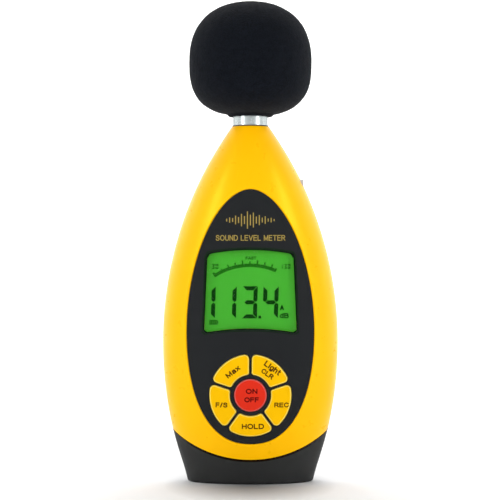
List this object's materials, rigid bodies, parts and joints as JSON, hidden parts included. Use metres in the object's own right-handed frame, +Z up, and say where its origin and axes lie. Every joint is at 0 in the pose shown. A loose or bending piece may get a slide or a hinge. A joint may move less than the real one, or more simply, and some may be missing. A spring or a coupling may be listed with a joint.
{
  "type": "sound level meter",
  "caption": "Hand-held sound level meter with rounded tapering case, green display, ring of keys round a power button and foam ball windscreen on its microphone.",
  "frame": {"origin": "middle of the flat base that the meter stands on, under the microphone's axis", "axes": "+Z up towards the microphone, -Y out of the front face with the display, +X to the right seen from the front"},
  "size_m": [0.0662, 0.0462, 0.1815],
  "materials": {
    "yellow_plastic": "moulded ABS, satin yellow",
    "black_plastic": "moulded ABS, fine texture",
    "panel_plastic": "smooth dark panel with printed lettering",
    "clear_window": "clear acrylic window",
    "key_rubber_red": "silicone key, soft sheen",
    "key_rubber_yellow": "silicone key, soft sheen",
    "silicone_mat": "translucent grey silicone",
    "gold_pads": "gold flashed copper",
    "lcd_glass": "reflective display glass",
    "white_plastic": "light spreading sheet",
    "grey_rubber": "striped conductive elastomer",
    "circuit_board": "green solder resist on glass fibre",
    "chip_black": "moulded epoxy",
    "steel": "zinc plated steel",
    "brass": "turned brass",
    "blue_plastic": "moulded trimmer housing",
    "grey_plastic": "moulded grey bush",
    "barrel_metal": "turned and plated tube",
    "rubber_seal": "nitrile ring",
    "diaphragm_metal": "stretched metal foil",
    "foam": "open cell foam",
    "battery_skin": "printed shrink sleeve over steel can",
    "lead_red": "insulated wire",
    "lead_black": "insulated wire"
  },
  "bodies": {
    "meter": {"front_shell": "yellow_plastic", "rear_shell": "black_plastic", "front_panel": "panel_plastic", "display_lens": "clear_window", "keypad_mat": "silicone_mat", "contact_pads": "gold_pads", "lcd_glass": "lcd_glass", "backlight_panel": "white_plastic", "zebra_strips": "grey_rubber", "lcd_frame": "white_plastic", "main_board": "circuit_board", "board_screws": "steel", "board_chips": "chip_black", "board_passives": "chip_black", "trimmer_body": "blue_plastic", "calibration_bush": "grey_plastic", "mic_barrel": "barrel_metal", "barrel_seal": "rubber_seal", "mic_capsule": "barrel_metal", "mic_diaphragm": "diaphragm_metal", "mic_grid": "barrel_metal", "barrel_insulator": "white_plastic", "preamp_board": "circuit_board", "preamp_chip": "chip_black", "battery_1": "battery_skin", "battery_2": "battery_skin", "battery_3": "battery_skin", "battery_4": "battery_skin", "battery_tray": "black_plastic", "battery_contacts": "steel", "battery_springs": "steel", "case_screws": "steel", "tripod_insert": "brass", "mic_leads": "lead_red", "battery_lead_plus": "lead_red", "battery_lead_minus": "lead_black"},
    "key_power": {"key_power": "key_rubber_red"},
    "key_hold": {"key_hold": "key_rubber_yellow"},
    "key_fast_slow": {"key_fast_slow": "key_rubber_yellow"},
    "key_max": {"key_max": "key_rubber_yellow"},
    "key_light": {"key_light": "key_rubber_yellow"},
    "key_record": {"key_record": "key_rubber_yellow"},
    "windscreen": {"windscreen": "foam"},
    "battery_door": {"battery_door": "black_plastic", "door_pad": "foam"},
    "trimmer_rotor": {"trimmer_rotor": "brass"}
  },
  "joints": [
    {"name": "power_press", "type": "slide", "parent": "meter", "child": "key_power", "axis": [0, 1, 0], "range_m": [0, 0.0006], "stiffness_N_per_m": 800, "springref_m": -0.0002, "deforming": ["keypad_mat"]},
    {"name": "hold_press", "type": "slide", "parent": "meter", "child": "key_hold", "axis": [0, 1, 0], "range_m": [0, 0.0006], "stiffness_N_per_m": 800, "springref_m": -0.0002, "deforming": ["keypad_mat"]},
    {"name": "fast_slow_press", "type": "slide", "parent": "meter", "child": "key_fast_slow", "axis": [0, 1, 0], "range_m": [0, 0.0006], "stiffness_N_per_m": 800, "springref_m": -0.0002, "deforming": ["keypad_mat"]},
    {"name": "max_press", "type": "slide", "parent": "meter", "child": "key_max", "axis": [0, 1, 0], "range_m": [0, 0.0006], "stiffness_N_per_m": 800, "springref_m": -0.0002, "deforming": ["keypad_mat"]},
    {"name": "light_press", "type": "slide", "parent": "meter", "child": "key_light", "axis": [0, 1, 0], "range_m": [0, 0.0006], "stiffness_N_per_m": 800, "springref_m": -0.0002, "deforming": ["keypad_mat"]},
    {"name": "record_press", "type": "slide", "parent": "meter", "child": "key_record", "axis": [0, 1, 0], "range_m": [0, 0.0006], "stiffness_N_per_m": 800, "springref_m": -0.0002, "deforming": ["keypad_mat"]},
    {"name": "windscreen_pull", "type": "slide", "parent": "meter", "child": "windscreen", "axis": [0, 0, 1], "range_m": [0, 0.045]},
    {"name": "battery_door_lift", "type": "slide", "parent": "meter", "child": "battery_door", "axis": [0, 1, 0], "range_m": [0, 0.02]},
    {"name": "calibration_turn", "type": "hinge", "parent": "meter", "child": "trimmer_rotor", "pos_m": [0.0125, -0.0016, 0.1123], "axis": [1, 0, 0], "range_deg": [-130, 130]}
  ]
}
